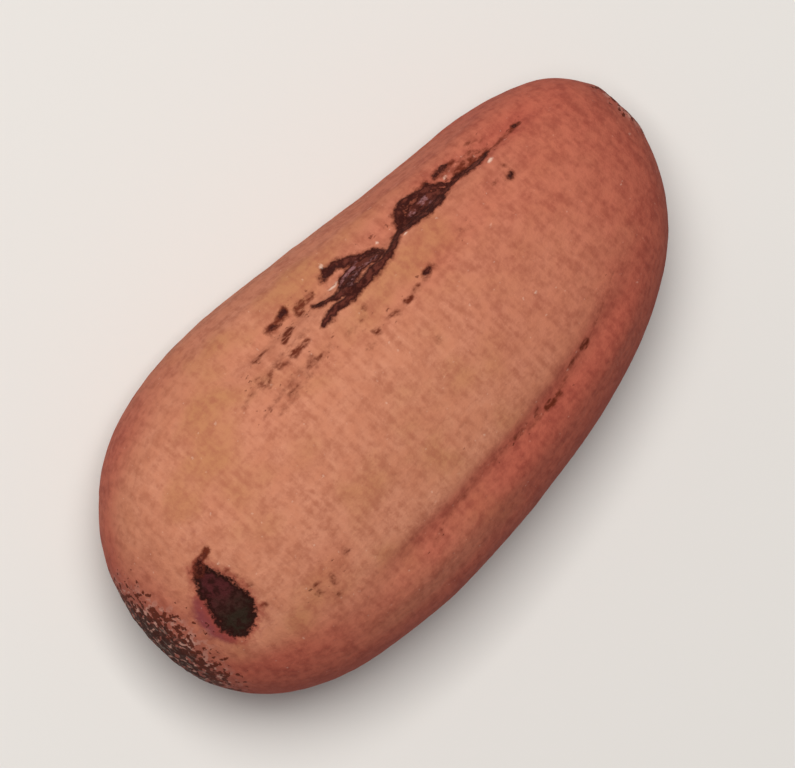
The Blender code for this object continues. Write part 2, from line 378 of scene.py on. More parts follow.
# Colours, linear
FACE = (0.492, 0.188, 0.108)
FACE_LIGHT = (0.565, 0.242, 0.148)
FACE_DULL = (0.365, 0.122, 0.068)
# The redder colours of the flanks and ends are partly the skin's own colour and partly painted shade
RUDDY_AND_SHADE = (0.425, 0.103, 0.065)
RUDDY_AND_SHADE_DULL = (0.290, 0.060, 0.040)
RUDDY_AND_SHADE_DEEP = (0.330, 0.058, 0.038)
OCHRE = (0.450, 0.190, 0.090)
STAIN = (0.105, 0.016, 0.006)
FILM_DARK = (0.034, 0.0040, 0.0020)
FILM_BROWN = (0.110, 0.024, 0.015)
FILM_GLINT = (0.290, 0.130, 0.135)
EYE_RIM = (0.020, 0.0034, 0.0020)
EYE_PLUM = (0.068, 0.012, 0.013)
EYE_MOSS = (0.024, 0.014, 0.008)
HALO = (0.270, 0.052, 0.034)
PLUM_SKIN = (0.185, 0.034, 0.042)
# Pale colour of the scales and the small flecks: a painted highlight
PALE_HIGHLIGHT = (0.760, 0.560, 0.450)
# Darker skin of the scars: partly its own colour, partly painted shade
SCAR_SKIN_AND_SHADE = (0.280, 0.084, 0.064)
SCAR_DARK = (0.032, 0.008, 0.005)
# Painted highlight on the rough scars
SCAR_HIGHLIGHT = (0.540, 0.300, 0.240)
SCAR_GREY = (0.230, 0.165, 0.135)
FLOOR_COLOUR = (0.70, 0.69, 0.67)

# Cloudy textures: size of a blotch in metres, detail, roughness, how much longer it is on X, Y and Z, and a
# shift in blotches that keeps them apart
Cloud = namedtuple("Cloud", "size detail rough stretch shift")
EVEN = (1.0, 1.0, 1.0)
DRIFT = Cloud(0.0030, 2.0, 0.50, EVEN, 3.1)
BLOTCHES = Cloud(0.00055, 3.0, 0.60, EVEN, 7.7)
GRAIN = Cloud(0.00020, 3.0, 0.62, EVEN, 1.9)
WRINKLES = Cloud(0.00018, 2.0, 0.50, (1.0, 3.6, 3.6), 5.3)
STREAKS = Cloud(0.00022, 2.0, 0.50, (6.0, 1.0, 1.0), 9.2)
DUST = Cloud(0.00006, 2.0, 0.60, EVEN, 4.4)
RAGGED_EDGE = Cloud(0.00017, 4.0, 0.60, EVEN, 2.6)
OCHRE_CLOUD = Cloud(0.0017, 2.0, 0.50, EVEN, 6.6)
# Tiny painted highlights scattered over the shell
HIGHLIGHT_FLECKS = Cloud(0.00015, 2.0, 0.50, EVEN, 23.0)
BROWN_SPECKS = Cloud(0.00014, 3.0, 0.58, (1.7, 1.0, 1.0), 8.1)
GRIT = Cloud(0.00010, 2.0, 0.60, (2.0, 1.0, 1.0), 27.0)
GLINT_CLOUD = Cloud(0.00010, 3.0, 0.65, EVEN, 12.0)
CRUST_BUMPS = Cloud(0.00009, 3.0, 0.60, EVEN, 22.0)
SCAR_HIGHLIGHT_FLECKS = Cloud(0.00019, 2.0, 0.50, (1.0, 1.0, 1.6), 18.0)
SCAR_DARK_FLECKS = Cloud(0.00015, 2.0, 0.50, (1.0, 1.0, 1.3), 15.0)
SCAR_ASH = Cloud(0.00013, 3.0, 0.62, (1.0, 3.0, 1.0), 31.0)

# Levels of a texture or mark between which a colour comes in, and what it goes from and to where that isn't
# from 0 to 1
PALE_LEVEL = (0.66, 1.16)
OCHRE_LEVEL = (0.60, 0.92)
DULL_LEVEL = (0.84, 1.34)
DULL_TAN_STRENGTH = 0.85
DULL_RED_STRENGTH = 0.95
RUDDY_LEVEL = (0.0, 1.0)
DEEP_RED_LEVEL = (1.00, 1.50, 0.0, 0.60)
BLUSH_LEVEL = (0.04, 0.90)
HIGHLIGHT_FLECK_LEVEL = (0.70, 0.78)
BROWN_SPECK_LEVEL = (0.760, 0.830)
STAIN_LEVEL = (0.08, 0.90)
GRIT_LEVEL = (0.40, 0.64, 0.42, 1.0)
MOSS_LEVEL = (-0.35, 0.55)
EYE_GRAIN_LEVEL = (0.42, 0.62, 0.0, 0.80)
FILM_BROWN_LEVEL = (0.46, 0.62)
GLINT_LEVEL = (1.70, 2.45)
GLINT_STRENGTH = 0.80
SCAR_HIGHLIGHT_LEVEL = (0.52, 0.60)
SCAR_DARK_LEVEL = (-0.030, 0.040)
ASH_LEVEL = (0.56, 0.64)
ASH_REACH = (0.2, 0.9)

# Edges of the dark marks, in mm into the mark: where each part of it starts and is full
EYE_HALO = (-0.28, 0.0)
EYE_BLACK = (-0.070, 0.050)
EYE_MIDDLE = (0.05, 0.20)
FILM_HALO = (-0.11, 0.0)
FILM_BODY = (-0.045, 0.030)
FILM_BLACK = (-0.02, 0.03)
FILM_MIDDLE = (0.02, 0.09)
SCALE_BODY = (-0.04, 0.05)
CRACK_BODY = (-0.050, 0.02)

# Scars, in mm from the end. Their darker skin and the dark flecks that crowd towards the end are partly painted
# shade
BROAD_SCAR_SKIN = (1.3, 2.7)
TIP_SCAR_SKIN = (0.5, 1.3)
BROAD_SCAR_FLECKS = (1.1, 3.9, 0.42, 0.90)  # two distances, and what the texture has to reach at each
TIP_SCAR_FLECKS = (0.4, 2.0, 0.42, 0.95)
BROWN_FLECKS = (1.1, 2.1)

SHELL_ROUGHNESS = 0.74
SHELL_SPECULAR = 0.10
BUMP_DISTANCE = 0.000028
BUMP_STRENGTH = 0.9
FLOOR_ROUGHNESS = 0.85
FLOOR_SPECULAR = 0.2

# Camera: it looks down on the seed, leaning a little to the broad end and to +Y, and the picture is turned
TARGET = Vector((0.0, 0.0, 0.0037))
LEAN_TO_BROAD_END = math.radians(6.0)
LEAN_TO_PLUS_Y = math.radians(8.0)
PICTURE_TURN = math.radians(47.2)
CAMERA_DISTANCE = 0.25
CLIP_START = 0.005
CLIP_END = 5.0
FOCAL_LENGTH = 450.0
SENSOR = 36.0

# Lamps: place along the picture's right and up and out to the camera, and side of the square
Lamp = namedtuple("Lamp", "name right up out size watts colour")
LAMPS = (
    Lamp("key", -0.004, 0.042, 0.24, 0.11, 0.63, (1.0, 0.965, 0.930)),
    Lamp("fill", -0.17, 0.13, 0.06, 0.12, 0.09, (1.0, 0.94, 0.92)),
)
WORLD_COLOUR = (0.95, 0.97, 1.0)
WORLD_STRENGTH = 0.17
FLOOR_HALF = 0.45
FLOOR_DROP = 0.00002  # keeps the floor just clear of the seed's flat spot


def eased(low, high, value):
    """0 below low, 1 above high and an S-curve between."""
    share = np.clip((value - low) / (high - low), 0.0, 1.0)
    return share * share * (3.0 - 2.0 * share)


def risen(zone, value):
    """0 before a zone starts, its strength where it is full and an S-curve between."""
    return zone.strength * eased(zone.start, zone.full, value)


def turned(bearing, degrees):
    """Signed angle from a bearing given in degrees, in radians within half a turn."""
    return (bearing - np.radians(degrees) + np.pi) % (2.0 * np.pi) - np.pi


def bent(weights, station):
    """Sideways shift of the centre line at a station."""
    return LENGTH * sum(weight * station ** (power + 1) for power, weight in enumerate(weights))


def section_size(station):
    """Half width, half thickness above the widest level and half thickness below it."""
    across = np.sqrt(1.0 - np.abs(station) ** END_BLUNTNESS)
    across = across * (1.0 - PLAN_TAPER * eased(PLAN_TAPER_FROM, PLAN_TAPER_TO, station))
    deep = np.sqrt(1.0 - np.abs(station) ** SIDE_BLUNTNESS)
    deep = deep * (1.0 - SIDE_TAPER * eased(SIDE_TAPER_FROM, SIDE_TAPER_TO, station))
    return WIDTH / 2 * across, THICKNESS * BACK_SHARE * deep, THICKNESS * (1.0 - BACK_SHARE) * deep


def section_axes(station, bearing):
    """Half width and half depth that hold at a bearing, a hair more than none at the very ends."""
    half_width, above, below = section_size(station)
    half_depth = np.where(np.sin(bearing) >= 0.0, above, below)
    return half_width + HAIR, half_depth + HAIR


def section_radius(station, bearing):
    """Polar radius of the superellipse 1 / (|cos/a|^p + |sin/b|^p)^(1/p), with a and b from section_axes."""
    half_width, half_depth = section_axes(station, bearing)
    reach = np.abs(np.cos(bearing) / half_width) ** SECTION_POWER
    reach = reach + np.abs(np.sin(bearing) / half_depth) ** SECTION_POWER
    return reach ** (-1.0 / SECTION_POWER)


def relief(station, bearing, radius):
    """Height of ribs, furrows, eye spots and swells above the smooth section.

    A line is a Gaussian of the distance round the section, faded at both of its ends. An eye spot is
    exp(-q^2) with q its elliptic distance squared, and a swell is a sine round times a cosine along.
    """
    height = np.zeros(np.broadcast(station, bearing).shape)
    for line in LINES:
        off = turned(bearing, line.bearing) * radius
        along = eased(line.start, line.start + LINE_FADE, station)
        along = along * eased(-line.end, -line.end + LINE_FADE, -station)
        height += line.height * along * np.exp(-((off / line.half_width) ** 2))
    for spot in EYE_SPOTS:
        off = turned(bearing, spot.bearing) * radius
        ahead = (station - spot.station) * LENGTH / 2
        away = (off / spot.half_width) ** 2 + (ahead / spot.half_length) ** 2
        height -= spot.depth * np.exp(-(away**2))
    calm = 1.0 - np.abs(station) ** 4
    for swell in SWELLS:
        wave = np.sin(swell.waves_round * bearing + swell.phase)
        height += swell.height * calm * wave * np.cos(swell.waves_along * station + swell.phase)
    return height


def shell_points(station, bearing):
    """Points of the smooth shell before it is set down.

    The section stands across the bent centre line. The relief is added along (cos/a^2, sin/b^2) made one
    long. At the narrow tip, a cup exp(-(r/R)^4) and a rim that is a Gaussian of the radius are added along X.
    """
    half_width, half_depth = section_axes(station, bearing)
    across, up = np.cos(bearing), np.sin(bearing)
    radius = section_radius(station, bearing)
    normal = np.stack([across / half_width**2, up / half_depth**2])
    normal = normal / np.linalg.norm(normal, axis=0)
    height = relief(station, bearing, radius)
    cup = np.exp(-((radius / CUP_RADIUS) ** 4))
    rim = np.exp(-(((radius - RIM_RADIUS) / RIM_HALF_WIDTH) ** 2))
    x = LENGTH / 2 * station + (station > TIP_FROM) * (RIM_HEIGHT * rim - CUP_DEPTH * cup)
    y = radius * across + height * normal[0] + bent(PLAN_BEND, station)
    z = radius * up + height * normal[1] + bent(SIDE_BEND, station)
    return np.stack([np.broadcast_to(x, y.shape), y, z], axis=-1)


def even_stations():
    """Stations of the rings, an even distance apart along the outline from end to end."""
    fine = -np.cos(np.linspace(0.0, np.pi, FINE))
    half_width, above, _ = section_size(fine)
    steps = np.hypot(np.diff(fine) * LENGTH / 2, np.diff((half_width + above) / 2))
    along = np.concatenate([[0.0], np.cumsum(steps)])
    return np.interp(np.arange(1, RINGS + 1) / (RINGS + 1) * along[-1], along, fine)


def crowded_bearings():
    """Bearings round the section, crowded where a rib or furrow runs."""
    fine = np.linspace(0.0, 2.0 * np.pi, FINE)
    crowd = np.ones_like(fine)
    for line in LINES:
        crowd += CROWDING * np.exp(-((turned(fine, line.bearing) / CROWD_WIDTH) ** 2))
    shares = np.cumsum(crowd) - crowd[0]
    return np.interp(np.arange(BEARINGS) / BEARINGS * shares[-1], shares, fine)


def lattice_noise(points, cell, seed):
    """Smooth noise from -1 to 1: random values on a lattice of that cell, eased between its eight corners."""
    table = np.random.default_rng(seed).uniform(-1.0, 1.0, (LATTICE,) * 3)
    place = points / np.asarray(cell)
    corner = np.floor(place).astype(int)
    share = eased(0.0, 1.0, place - corner)
    total = np.zeros(points.shape[:-1])
    for step in product((0, 1), repeat=3):
        index = (corner + np.array(step)) % LATTICE
        weight = np.where(np.array(step) == 1, share, 1.0 - share).prod(axis=-1)
        total += weight * table[index[..., 0], index[..., 1], index[..., 2]]
    return total


def chain_field(points, chain):
    """Half width less the distance to a chain of places, in metres, so it is positive on the mark.

    Each link is a straight piece between two places on the shell, and its half width goes evenly from
    one end to the other.
    """
    stations = np.array([[place[0]] for place in chain])
    bearings = np.radians([[place[1]] for place in chain])
    knots = shell_points(stations, bearings)[:, 0]
    widths = [place[2] * MM for place in chain]
    best = np.full(points.shape[:-1], -1.0)
    for start, end, from_width, to_width in zip(knots, knots[1:], widths, widths[1:]):
        run = end - start
        share = np.clip((points - start) @ run / (run @ run), 0.0, 1.0)
        distance = np.linalg.norm(points - start - share[..., None] * run, axis=-1)
        best = np.maximum(best, from_width + (to_width - from_width) * share - distance)
    return best


def chains_field(points, chains):
    """The largest field of several chains."""
    best = np.full(points.shape[:-1], -1.0)
    for chain in chains:
        best = np.maximum(best, chain_field(points, chain))
    return best


def soft_field(points, stains, soft):
    """The strongest stain at each point: its strength times a Gaussian of the distance outside its chain."""
    strongest = np.zeros(points.shape[:-1])
    for stain in stains:
        outside = np.maximum(0.0, -chain_field(points, stain.points))
        strongest = np.maximum(strongest, stain.strength * np.exp(-((outside / soft) ** 2)))
    return strongest


def wandered(points):
    """The points moved sideways by lattice noise, so that a mark read there is uneven."""
    moved = points.copy()
    for step, (cell, reach) in enumerate(WANDER):
        for axis in range(3):
            moved[..., axis] += reach * lattice_noise(points, cell, WANDER_SEED + 3 * step + axis)
    return moved


def outline_field(along, round_shell, outline):
    """Distance to a closed outline, in metres, positive inside and negative outside.

    The distance is the least to any edge, and a place is inside when a ray from it crosses the edges an
    odd number of times.
    """
    corners = np.array(outline) * MM
    place = np.stack([along, round_shell], axis=-1)
    nearest = np.full(along.shape, 1.0)
    inside = np.zeros(along.shape, bool)
    for start, end in zip(corners, np.roll(corners, -1, axis=0)):
        run = end - start
        share = np.clip((place - start) @ run / (run @ run), 0.0, 1.0)
        nearest = np.minimum(nearest, np.linalg.norm(place - start - share[..., None] * run, axis=-1))
        spans = (start[1] > round_shell) != (end[1] > round_shell)
        rise = end[1] - start[1] + HAIR
        crossing = start[0] + (round_shell - start[1]) / rise * run[0]
        inside ^= spans & (along < crossing)
    return np.where(inside, nearest, -nearest)


def eye_field(station, bearing, radius):
    """Distance inside the nearer eye spot's outline, and the place across it, round the shell, in metres."""
    best = np.full(radius.shape, -1.0)
    across = np.zeros(radius.shape)
    for (middle, degrees), outline in zip(EYE_MIDDLES, EYE_OUTLINES):
        along = np.broadcast_to((station - middle) * LENGTH / 2, radius.shape)
        round_shell = turned(bearing, degrees) * radius
        field = outline_field(along, round_shell, outline)
        across = np.where(field > best, round_shell, across)
        best = np.maximum(best, field)
    return best, across


def ruddy_and_shade_field(station, bearing):
    """Strength of the redder, darker colour: on both flanks, along the crease and towards both ends. It is
    partly the shell's own redder skin and partly painted shade where the flanks turn away from the light.

    Each zone takes its share of the skin that the others leave bare. The low part of the far flank is
    added to that, so the mark passes 1 there, where it paints the deepest shade.
    """
    beyond = np.abs(turned(bearing, 180.0))
    spread = FAR_FLANK_ANGLE + risen(FAR_FLANK_WIDER_BACK, -station)
    far_flank = 1.0 - eased(spread - FAR_FLANK_SOFTNESS, spread, beyond)
    shoulder = risen(SHOULDER_UP, beyond) * risen(SHOULDER_BACK, -station) * risen(SHOULDER_END, station)
    far_flank = far_flank * (1.0 - shoulder)
    crease = risen(CREASE_START, station) * risen(CREASE_BACK, -station)
    crease = crease * np.exp(-((turned(bearing, CREASE_BEARING) / CREASE_HALF_WIDTH) ** 2))
    near_flank = NEAR_FLANK + risen(NEAR_FLANK_NARROW, station) + risen(NEAR_FLANK_BACK, -station)
    near_flank = near_flank * (1.0 - risen(NEAR_FLANK_UP, np.abs(turned(bearing, 0.0))))
    ends = (risen(NARROW_FACE, station), risen(NARROW_END, station), risen(BROAD_END_BACK, -station))
    bare = 1.0
    for share in (far_flank, crease, near_flank, *ends):
        bare = bare * (1.0 - share)
    return 1.0 - bare + LOW_FLANK.strength - risen(LOW_FLANK, beyond)


def outward(grid):
    """Unit normals of a closed grid: the step round the shell crossed with the step along it."""
    along = np.gradient(grid, axis=0)
    around = np.roll(grid, -1, axis=1) - np.roll(grid, 1, axis=1)
    normal = np.cross(around, along)
    return normal / np.linalg.norm(normal, axis=-1, keepdims=True)


def fine_relief(grid, marks):
    """Height of everything too fine for the smooth shell, in metres, along its normal.

    Lattice noise makes low dents, short wrinkles across the shell and faint streaks along it. The film is
    a raised crust and the scales are thin raised plates. The eye spots are sunk with a crisp edge, a crack
    is an eased wall with a Gaussian lip outside it, and the scars are rough.
    """
    dents = (deep * lattice_noise(grid, cell, DENT_SEED + step) for step, (cell, deep) in enumerate(DENTS))
    height = sum(dents)
    height = height + WRINKLE_HEIGHT * lattice_noise(grid, WRINKLE_CELL, WRINKLE_SEED)
    height = height + STREAK_HEIGHT * lattice_noise(grid, STREAK_CELL, STREAK_SEED)
    coarse = lattice_noise(grid, COARSE_CELL, COARSE_SEED)
    fine = lattice_noise(grid, FINE_CELL, FINE_SEED)
    crust = eased(-CRUST_EDGE / 2, CRUST_EDGE / 2, marks["film"] + CRUST_WANDER * coarse)
    height = height + CRUST_HEIGHT * crust * (1.0 + CRUST_COARSE * coarse + CRUST_FINE * fine)
    eye = eased(-EYE_EDGE / 2, EYE_EDGE / 2, marks["eye"])
    height = height - EYE_SINK * eye * (1.0 + EYE_COARSE * coarse + EYE_FINE * fine)
    crack = marks["seam"] / SEAM_HALF_WIDTH
    height = height - SEAM_DEPTH * eased(*SEAM_WALL, crack)
    height = height + SEAM_LIP * np.exp(-((crack - LIP_PLACE) ** 2))
    height = height + SCAR_ROUGHNESS * marks["scar"] * (SCAR_COARSE * coarse + SCAR_FINE * fine)
    return height + SCALE_HEIGHT * eased(-SCALE_EDGE / 2, SCALE_EDGE / 2, marks["scale_and_glint"])


def shell_marks(station, bearing, smooth, ends):
    """Every mark on the rings, by name. Those with uneven edges are read at the wandered points."""
    loose = wandered(smooth)
    eye, eye_across = eye_field(station, bearing, section_radius(station, bearing))
    from_broad_end = np.linalg.norm(smooth - ends[0], axis=-1)
    from_tip = np.linalg.norm(smooth - ends[1], axis=-1)
    return {
        "film": chains_field(loose, FILM),
        "scale_and_glint": chains_field(loose, SCALES_AND_GLINTS),
        "seam": chains_field(smooth + (loose - smooth) * SEAM_WANDER, SEAMS),
        "stain": soft_field(loose, STAINS, STAIN_SOFTNESS),
        "pepper": soft_field(smooth, PEPPER, PEPPER_SOFTNESS),
        "blush": soft_field(loose, BLUSH, BLUSH_SOFTNESS),
        "glint": soft_field(loose, GLINTS, GLINT_SOFTNESS),
        "ochre": soft_field(smooth, OCHRE_PATCHES, OCHRE_SOFTNESS),
        "eye": eye,
        "eye_across": eye_across,
        "ruddy_and_shade": ruddy_and_shade_field(station, bearing),
        "from_broad_end": from_broad_end,
        "from_tip": from_tip,
        "scar": 1.0 - np.minimum(eased(*BROAD_SCAR, from_broad_end), eased(*TIP_SCAR, from_tip)),
    }


def shell_grid():
    """The finished shell as rings of points from end to end, its two end points, and its marks."""
    station = even_stations()[:, None]
    bearing = crowded_bearings()[None, :]
    smooth = shell_points(station, bearing)
    ends = shell_points(np.array([[-1.0], [1.0]]), np.zeros((1, 1)))[:, 0]
    marks = shell_marks(station, bearing, smooth, ends)
    level = smooth[..., 2].min() + RESTING_CUT
    clear = eased(level, level + FLOOR_FADE, smooth[..., 2])
    grid = smooth + outward(smooth) * (fine_relief(smooth, marks) * clear)[..., None]
    middle = (smooth.min(axis=(0, 1)) + smooth.max(axis=(0, 1))) / 2
    for points in (grid, ends):
        points[..., 2] = np.maximum(points[..., 2], level) - level
        points[..., :2] -= middle[:2]
    return grid, ends, marks


def shell_piece():
    """The shell's mesh: quads between the rings and a fan to the point at each end."""
    grid, ends, marks = shell_grid()
    rings, around = grid.shape[:2]
    points = np.concatenate([grid.reshape(-1, 3), ends])
    number = np.arange(rings * around).reshape(rings, around)
    after = np.roll(number, -1, axis=1)
    quads = np.stack([number[:-1], after[:-1], after[1:], number[1:]], axis=-1).reshape(-1, 4)
    broad = np.stack([np.full(around, rings * around), after[0], number[0]], axis=-1)
    narrow = np.stack([np.full(around, rings * around + 1), number[-1], after[-1]], axis=-1)
    mesh = bpy.data.meshes.new("pine_seed_shell")
    mesh.from_pydata(points.tolist(), [], quads.tolist() + broad.tolist() + narrow.tolist())
    mesh.update()
    mesh.shade_smooth()
    for name, values in marks.items():
        values = np.broadcast_to(values, (rings, around))
        values = np.append(values.ravel(), [values[0].mean(), values[-1].mean()])
        if name not in SHARES:
            values = values / MM
        attribute = mesh.attributes.new(name, "FLOAT", "POINT")
        attribute.data.foreach_set("value", values.astype(np.float32))
    piece = bpy.data.objects.new("pine_seed_shell", mesh)
    bpy.context.scene.collection.objects.link(piece)
    return piece


class Finish:
    """One material, with its nodes joined as they are made. An input is a number, a colour or an output."""

    def __init__(self, name):
        self.material = bpy.data.materials.new(name)
        self.material.use_nodes = True
        self.tree = self.material.node_tree
        self.shader = self.tree.nodes["Principled BSDF"]

    def join(self, socket, value):
        """Sets a socket, or joins another node's output to it."""
        if isinstance(value, bpy.types.NodeSocket):
            self.tree.links.new(value, socket)
        elif isinstance(value, tuple) and len(value) == 3 and socket.type == "RGBA":
            socket.default_value = (*value, 1.0)
        else:
            socket.default_value = value

    def mark(self, name):
        """A mark that the mesh carries; distances are in mm."""
        node = self.tree.nodes.new("ShaderNodeAttribute")
        node.attribute_name = name
        return node.outputs["Fac"]

    def worked_out(self, operation, *values):
        """Result of one arithmetic node on these values."""
        node = self.tree.nodes.new("ShaderNodeMath")
        node.operation = operation
        for socket, value in zip(node.inputs, values):
            self.join(socket, value)
        return node.outputs[0]

    def sum_of(self, *terms):
        """Weighted sum of (output, weight) pairs and plain numbers."""
        total = 0.0
        for term in terms:
            value, weight = term if isinstance(term, tuple) else (term, 1.0)
            total = self.worked_out("MULTIPLY_ADD", value, weight, total)
        return total

    def times(self, first, second):
        return self.worked_out("MULTIPLY", first, second)

    def larger(self, first, second):
        return self.worked_out("MAXIMUM", first, second)

    def ramp(self, value, low, high, start=0.0, end=1.0):
        """start below low, end above high and an S-curve between."""
        node = self.tree.nodes.new("ShaderNodeMapRange")
        node.interpolation_type = "SMOOTHSTEP"
        names = ("Value", "From Min", "From Max", "To Min", "To Max")
        for name, number in zip(names, (value, low, high, start, end)):
            self.join(node.inputs[name], number)
        return node.outputs["Result"]

    def mix(self, share, first, second):
        """The first colour, passing into the second by the share. The node's sockets 6 and 7 are colours."""
        node = self.tree.nodes.new("ShaderNodeMix")
        node.data_type = "RGBA"
        self.join(node.inputs[0], share)
        self.join(node.inputs[6], first)
        self.join(node.inputs[7], second)
        return node.outputs[2]

    def bump(self, height, under=None):
        """A normal tilted by a height, over the bumps of another normal if one is given."""
        node = self.tree.nodes.new("ShaderNodeBump")
        node.inputs["Strength"].default_value = BUMP_STRENGTH
        node.inputs["Distance"].default_value = BUMP_DISTANCE
        self.join(node.inputs["Height"], height)
        if under is not None:
            self.join(node.inputs["Normal"], under)
        return node.outputs["Normal"]


class ShellFinish(Finish):
    """Matt tan shell, redder and darker at its flanks and ends, partly its own colour and partly painted shade.
    Each layer is laid over the ones before it.
    """

    def __init__(self):
        super().__init__("pine_seed_shell")
        self.place = self.tree.nodes.new("ShaderNodeTexCoord").outputs["Object"]
        self.drift = self.cloudy(DRIFT)
        self.blotch = self.cloudy(BLOTCHES)
        self.grain = self.cloudy(GRAIN)
        self.wrinkle = self.cloudy(WRINKLES)
        self.streak = self.cloudy(STREAKS)
        self.dust = self.cloudy(DUST)
        self.ragged = self.sum_of((self.cloudy(RAGGED_EDGE), 0.42), (self.dust, 0.06), -0.240)
        self.bare_skin()
        self.blushes()
        self.flecks()
        self.stains()
        self.eye_spots()
        self.film()
        self.scars()
        self.surface()

    def cloudy(self, cloud):
        """A cloudy texture from 0 to 1, on the shell's own coordinates."""
        mapping = self.tree.nodes.new("ShaderNodeMapping")
        self.join(mapping.inputs["Vector"], self.place)
        mapping.inputs["Location"].default_value = (cloud.shift, cloud.shift * 0.7, cloud.shift * 1.3)
        mapping.inputs["Scale"].default_value = tuple(1.0 / (cloud.size * longer) for longer in cloud.stretch)
        node = self.tree.nodes.new("ShaderNodeTexNoise")
        self.join(node.inputs["Vector"], mapping.outputs["Vector"])
        node.inputs["Scale"].default_value = 1.0
        node.inputs["Detail"].default_value = cloud.detail
        node.inputs["Roughness"].default_value = cloud.rough
        return node.outputs[0]

    def lay(self, share, colour, strength=1.0):
        """Covers the colour so far with another one, by that share times a strength."""
        self.colour = self.mix(self.times(share, strength), self.colour, colour)

    def bare_skin(self):
        """Tan, ochre and pale patches under a soft dull mottle, passing into red-brown on the flanks and ends:
        partly the skin's own colour and partly painted shade.
        """
        pale = self.sum_of(self.blotch, (self.drift, 0.4), (self.grain, 0.4))
        tan = self.mix(self.ramp(pale, *PALE_LEVEL), FACE, FACE_LIGHT)
        ochre = self.sum_of(self.cloudy(OCHRE_CLOUD), (self.mark("ochre"), 0.26), (self.blotch, 0.20))
        tan = self.mix(self.ramp(ochre, *OCHRE_LEVEL), tan, OCHRE)
        dull = self.sum_of((self.grain, 0.80), (self.wrinkle, 0.60), (self.streak, 0.30), (self.blotch, 0.40))
        dull = self.ramp(dull, *DULL_LEVEL)
        tan = self.mix(self.times(dull, DULL_TAN_STRENGTH), tan, FACE_DULL)
        red = self.mix(self.times(dull, DULL_RED_STRENGTH), RUDDY_AND_SHADE, RUDDY_AND_SHADE_DULL)
        ruddy_and_shade = self.sum_of(
            self.mark("ruddy_and_shade"), (self.mark("pepper"), 0.20), (self.drift, 0.60), (self.blotch, 0.34), -0.47
        )
        # The deepest red-brown, mostly on the low part of the far flank, is painted shade
        red = self.mix(self.ramp(ruddy_and_shade, *DEEP_RED_LEVEL), red, RUDDY_AND_SHADE_DEEP)
        self.colour = self.mix(self.ramp(ruddy_and_shade, *RUDDY_LEVEL), tan, red)

    def blushes(self):
        """Plum coloured skin beside the eye spots."""
        blush = self.sum_of(self.mark("blush"), (self.ragged, 1.8))
        self.lay(self.ramp(blush, *BLUSH_LEVEL), PLUM_SKIN, strength=0.92)

    def flecks(self):
        """Small pale flecks everywhere, which are painted highlights, and brown ones that crowd where the
        pepper mark is high.
        """
        self.lay(self.ramp(self.cloudy(HIGHLIGHT_FLECKS), *HIGHLIGHT_FLECK_LEVEL), PALE_HIGHLIGHT, strength=0.22)
        brown = self.sum_of(self.cloudy(BROWN_SPECKS), (self.mark("pepper"), 0.140))
        self.specks = self.ramp(brown, *BROWN_SPECK_LEVEL)
        self.lay(self.specks, STAIN, strength=0.62)

    def stains(self):
        """Brown strokes and dots, broken up by grit, and the crack along each side."""
        stain = self.sum_of(self.mark("stain"), (self.ragged, 2.4))
        grit = self.sum_of(self.cloudy(GRIT), (self.mark("stain"), 0.09))
        share = self.times(self.ramp(stain, *STAIN_LEVEL), self.ramp(grit, *GRIT_LEVEL))
        self.lay(share, STAIN, strength=0.96)
        crack = self.sum_of(self.mark("seam"), (self.ragged, 0.30))
        self.lay(self.ramp(crack, *CRACK_BODY), STAIN, strength=0.9)

    def eye_spots(self):
        """Nearly black spots with a red-brown edge, plum at one side and moss at the other."""
        edge = self.sum_of(self.mark("eye"), (self.ragged, 1.15))
        self.lay(self.ramp(edge, *EYE_HALO), HALO, strength=0.72)
        self.in_eye = self.ramp(edge, *EYE_BLACK)
        moss = self.sum_of(self.mark("eye_across"), (self.blotch, 1.2), -0.6)
        pupil = self.mix(self.ramp(moss, *MOSS_LEVEL), EYE_PLUM, EYE_MOSS)
        pupil = self.mix(self.ramp(self.grain, *EYE_GRAIN_LEVEL), pupil, EYE_RIM)
        pupil = self.mix(self.ramp(edge, *EYE_MIDDLE), EYE_RIM, pupil)
        self.lay(self.in_eye, pupil)

    def film(self):
        """Dark crust in the furrows: brown at its edge, nearly black within, with dull violet glints."""
        edge = self.sum_of(self.mark("film"), (self.ragged, 0.60), 0.008)
        within = self.ramp(edge, *FILM_MIDDLE)
        self.lay(self.ramp(edge, *FILM_HALO), STAIN, strength=0.62)
        self.in_film = self.ramp(edge, *FILM_BODY)
        brown = self.ramp(self.sum_of((self.grain, 0.6), (self.blotch, 0.5)), *FILM_BROWN_LEVEL)
        skin = self.mix(self.ramp(edge, *FILM_BLACK), FILM_BROWN, FILM_DARK)
        skin = self.mix(self.times(within, brown), skin, FILM_BROWN)
        glint = self.sum_of(self.mark("glint"), (self.cloudy(GLINT_CLOUD), 2.6))
        self.glints = self.times(self.ramp(glint, *GLINT_LEVEL), within)
        self.lay(self.in_film, self.mix(self.times(self.glints, GLINT_STRENGTH), skin, FILM_GLINT))
        # The scales are raised plates, painted pale as highlights
        scale_and_glint = self.sum_of(self.mark("scale_and_glint"), (self.ragged, 0.4))
        self.lay(self.ramp(scale_and_glint, *SCALE_BODY), PALE_HIGHLIGHT, strength=0.85)

    def scars(self):
        """Corroded skin at both ends, darker there partly as painted shade: dark flecks that thin out away from
        the end, with pale ones between, which are painted highlights.

        A fleck is where its texture passes a limit that rises with the distance from the end.
        """
        from_broad = self.sum_of(self.mark("from_broad_end"), (self.blotch, 0.9), -0.45)
        from_tip = self.mark("from_tip")
